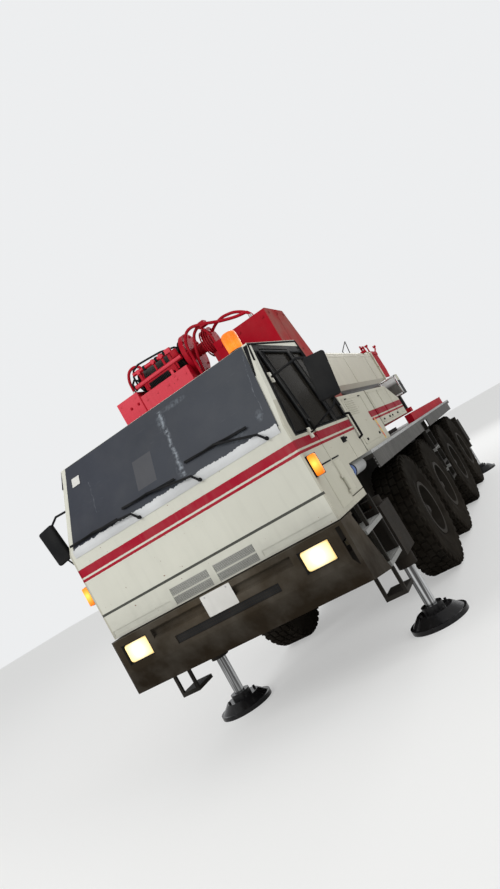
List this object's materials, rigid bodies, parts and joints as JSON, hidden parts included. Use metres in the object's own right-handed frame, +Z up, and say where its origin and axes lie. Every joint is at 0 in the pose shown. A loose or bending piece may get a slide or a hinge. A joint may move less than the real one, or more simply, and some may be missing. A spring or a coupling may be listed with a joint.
{
  "type": "mobile crane",
  "caption": "Road-going mobile crane with a level telescopic boom over its rear, driver's cab, slewing upper works and jacks down on round pads.",
  "frame": {"origin": "on the ground, under the middle of the overall length and width", "axes": "+X to the vehicle's left, +Y backwards along the parked boom, +Z up; the cab faces -Y"},
  "size_m": [3.51, 11.73, 4.1189],
  "materials": {
    "white_paint": "semi-gloss",
    "red_paint": "semi-gloss",
    "grey_paint": "satin",
    "dark_steel": "satin",
    "cast_iron": "rough",
    "tyre": "matt",
    "rim_paint": "satin",
    "glass": "tinted",
    "dark_plastic": "matt",
    "lamp_lens": "clear and amber",
    "interior": "woven",
    "rod_chrome": "polished",
    "rope_steel": "greased"
  },
  "bodies": {
    "root": {"chassis_frame": "dark_steel", "deck": "grey_paint", "deck_bars": "red_paint", "axles": "dark_steel", "cab_shell": "white_paint", "cab_glass": "glass", "cab_interior": "interior", "bumper": "dark_plastic", "lamps": "lamp_lens", "mirrors": "dark_plastic", "steps": "dark_steel", "engine_cover": "white_paint", "engine_block": "cast_iron"},
    "superstructure": {"turntable": "red_paint", "side_housings": "white_paint", "counterweight": "red_paint", "winch_frame": "red_paint", "operator_cab": "white_paint", "operator_glass": "glass"},
    "operator_door": {"operator_door": "white_paint"},
    "winch_drum": {"winch_drum": "rope_steel"},
    "boom_base": {"boom_base": "white_paint"},
    "boom_second": {"boom_second": "white_paint"},
    "boom_third": {"boom_third": "white_paint"},
    "boom_tip": {"boom_tip": "red_paint", "hook_block": "red_paint"},
    "luff_barrel": {"luff_barrel": "dark_steel"},
    "luff_rod": {"luff_rod": "rod_chrome"},
    "door_left": {"door_left": "white_paint", "door_glass_left": "glass"},
    "door_right": {"door_right": "white_paint", "door_glass_right": "glass"},
    "wheel_1_left": {"tyre_1_left": "tyre", "rim_1_left": "rim_paint"},
    "knuckle_1_left": {"knuckle_1_left": "cast_iron"},
    "wheel_1_right": {"tyre_1_right": "tyre", "rim_1_right": "rim_paint"},
    "knuckle_1_right": {"knuckle_1_right": "cast_iron"},
    "wheel_2_left": {"tyre_2_left": "tyre", "rim_2_left": "rim_paint"},
    "knuckle_2_left": {"knuckle_2_left": "cast_iron"},
    "wheel_2_right": {"tyre_2_right": "tyre", "rim_2_right": "rim_paint"},
    "knuckle_2_right": {"knuckle_2_right": "cast_iron"},
    "wheel_3_left": {"tyre_3_left": "tyre", "rim_3_left": "rim_paint"},
    "wheel_3_right": {"tyre_3_right": "tyre", "rim_3_right": "rim_paint"},
    "wheel_4_left": {"tyre_4_left": "tyre", "rim_4_left": "rim_paint"},
    "wheel_4_right": {"tyre_4_right": "tyre", "rim_4_right": "rim_paint"},
    "beam_front_left": {"beam_front_left": "dark_steel"},
    "jack_front_left": {"jack_front_left": "rod_chrome"},
    "beam_front_right": {"beam_front_right": "dark_steel"},
    "jack_front_right": {"jack_front_right": "rod_chrome"},
    "beam_rear_left": {"beam_rear_left": "dark_steel"},
    "jack_rear_left": {"jack_rear_left": "rod_chrome"},
    "beam_rear_right": {"beam_rear_right": "dark_steel"},
    "jack_rear_right": {"jack_rear_right": "rod_chrome"}
  },
  "joints": [
    {"name": "steer_1_left", "type": "hinge", "parent": "root", "child": "knuckle_1_left", "pos_m": [0.8, -2.575, 0.745], "axis": [0, 0, 1], "range_deg": [-32, 32]},
    {"name": "spin_1_left", "type": "hinge", "parent": "knuckle_1_left", "child": "wheel_1_left", "pos_m": [1.085, -2.575, 0.745], "axis": [1, 0, 0], "continuous": true},
    {"name": "steer_1_right", "type": "hinge", "parent": "root", "child": "knuckle_1_right", "pos_m": [-0.8, -2.575, 0.745], "axis": [0, 0, 1], "range_deg": [-32, 32]},
    {"name": "spin_1_right", "type": "hinge", "parent": "knuckle_1_right", "child": "wheel_1_right", "pos_m": [-1.085, -2.575, 0.745], "axis": [1, 0, 0], "continuous": true},
    {"name": "steer_2_left", "type": "hinge", "parent": "root", "child": "knuckle_2_left", "pos_m": [0.8, -0.915, 0.745], "axis": [0, 0, 1], "range_deg": [-22.4, 22.4]},
    {"name": "spin_2_left", "type": "hinge", "parent": "knuckle_2_left", "child": "wheel_2_left", "pos_m": [1.085, -0.915, 0.745], "axis": [1, 0, 0], "continuous": true},
    {"name": "steer_2_right", "type": "hinge", "parent": "root", "child": "knuckle_2_right", "pos_m": [-0.8, -0.915, 0.745], "axis": [0, 0, 1], "range_deg": [-22.4, 22.4]},
    {"name": "spin_2_right", "type": "hinge", "parent": "knuckle_2_right", "child": "wheel_2_right", "pos_m": [-1.085, -0.915, 0.745], "axis": [1, 0, 0], "continuous": true},
    {"name": "spin_3_left", "type": "hinge", "parent": "root", "child": "wheel_3_left", "pos_m": [1.085, 1.315, 0.745], "axis": [1, 0, 0], "continuous": true},
    {"name": "spin_3_right", "type": "hinge", "parent": "root", "child": "wheel_3_right", "pos_m": [-1.085, 1.315, 0.745], "axis": [1, 0, 0], "continuous": true},
    {"name": "spin_4_left", "type": "hinge", "parent": "root", "child": "wheel_4_left", "pos_m": [1.085, 3.065, 0.745], "axis": [1, 0, 0], "continuous": true},
    {"name": "spin_4_right", "type": "hinge", "parent": "root", "child": "wheel_4_right", "pos_m": [-1.085, 3.065, 0.745], "axis": [1, 0, 0], "continuous": true},
    {"name": "open_door_left", "type": "hinge", "parent": "root", "child": "door_left", "pos_m": [1.261, -5.104, 2.255], "axis": [0, 0, -1], "range_deg": [0, 70]},
    {"name": "open_door_right", "type": "hinge", "parent": "root", "child": "door_right", "pos_m": [-1.261, -5.104, 2.255], "axis": [0, 0, 1], "range_deg": [0, 70]},
    {"name": "extend_front_left", "type": "slide", "parent": "root", "child": "beam_front_left", "axis": [1, 0, 0], "range_m": [0, 1.9]},
    {"name": "jack_front_left", "type": "slide", "parent": "beam_front_left", "child": "jack_front_left", "axis": [0, 0, 1], "range_m": [-0.15, 0.4]},
    {"name": "extend_front_right", "type": "slide", "parent": "root", "child": "beam_front_right", "axis": [-1, 0, 0], "range_m": [0, 1.9]},
    {"name": "jack_front_right", "type": "slide", "parent": "beam_front_right", "child": "jack_front_right", "axis": [0, 0, 1], "range_m": [-0.15, 0.4]},
    {"name": "extend_rear_left", "type": "slide", "parent": "root", "child": "beam_rear_left", "axis": [1, 0, 0], "range_m": [0, 1.9]},
    {"name": "jack_rear_left", "type": "slide", "parent": "beam_rear_left", "child": "jack_rear_left", "axis": [0, 0, 1], "range_m": [-0.15, 0.4]},
    {"name": "extend_rear_right", "type": "slide", "parent": "root", "child": "beam_rear_right", "axis": [-1, 0, 0], "range_m": [0, 1.9]},
    {"name": "jack_rear_right", "type": "slide", "parent": "beam_rear_right", "child": "jack_rear_right", "axis": [0, 0, 1], "range_m": [-0.15, 0.4]},
    {"name": "slew", "type": "hinge", "parent": "root", "child": "superstructure", "pos_m": [0, 0.125, 1.83], "axis": [0, 0, 1], "range_deg": [-150, 150]},
    {"name": "slide_operator_door", "type": "slide", "parent": "superstructure", "child": "operator_door", "axis": [0, -1, 0], "range_m": [0, 0.7]},
    {"name": "turn_winch", "type": "hinge", "parent": "superstructure", "child": "winch_drum", "pos_m": [-0.555, -3.215, 3.83], "axis": [1, 0, 0], "continuous": true},
    {"name": "luff", "type": "hinge", "parent": "superstructure", "child": "boom_base", "pos_m": [0, -2.635, 3.15], "axis": [1, 0, 0], "range_deg": [0, 78]},
    {"name": "luff_barrel_turn", "type": "hinge", "parent": "superstructure", "child": "luff_barrel", "pos_m": [0, -1.385, 2.08], "axis": [1, 0, 0], "range_deg": [0, 77.98]},
    {"name": "luff_rod_slide", "type": "slide", "parent": "luff_barrel", "child": "luff_rod", "axis": [0, 0.9832, 0.1823], "range_m": [0, 2.0715]},
    {"name": "telescope_second", "type": "slide", "parent": "boom_base", "child": "boom_second", "axis": [0, 1, 0], "range_m": [0, 5.7]},
    {"name": "telescope_third", "type": "slide", "parent": "boom_second", "child": "boom_third", "axis": [0, 1, 0], "range_m": [0, 5.7]},
    {"name": "telescope_tip", "type": "slide", "parent": "boom_third", "child": "boom_tip", "axis": [0, 1, 0], "range_m": [0, 5.7]}
  ],
  "couplings": [
    {"joint": "steer_1_right", "follows": "steer_1_left", "ratio": 1},
    {"joint": "steer_2_left", "follows": "steer_1_left", "ratio": 0.7},
    {"joint": "steer_2_right", "follows": "steer_1_left", "ratio": 0.7},
    {"joint": "luff_barrel_turn", "follows": "luff", "ratio": 0.99962},
    {"joint": "luff_rod_slide", "follows": "luff", "m_per_rad": 1.5213}
  ]
}
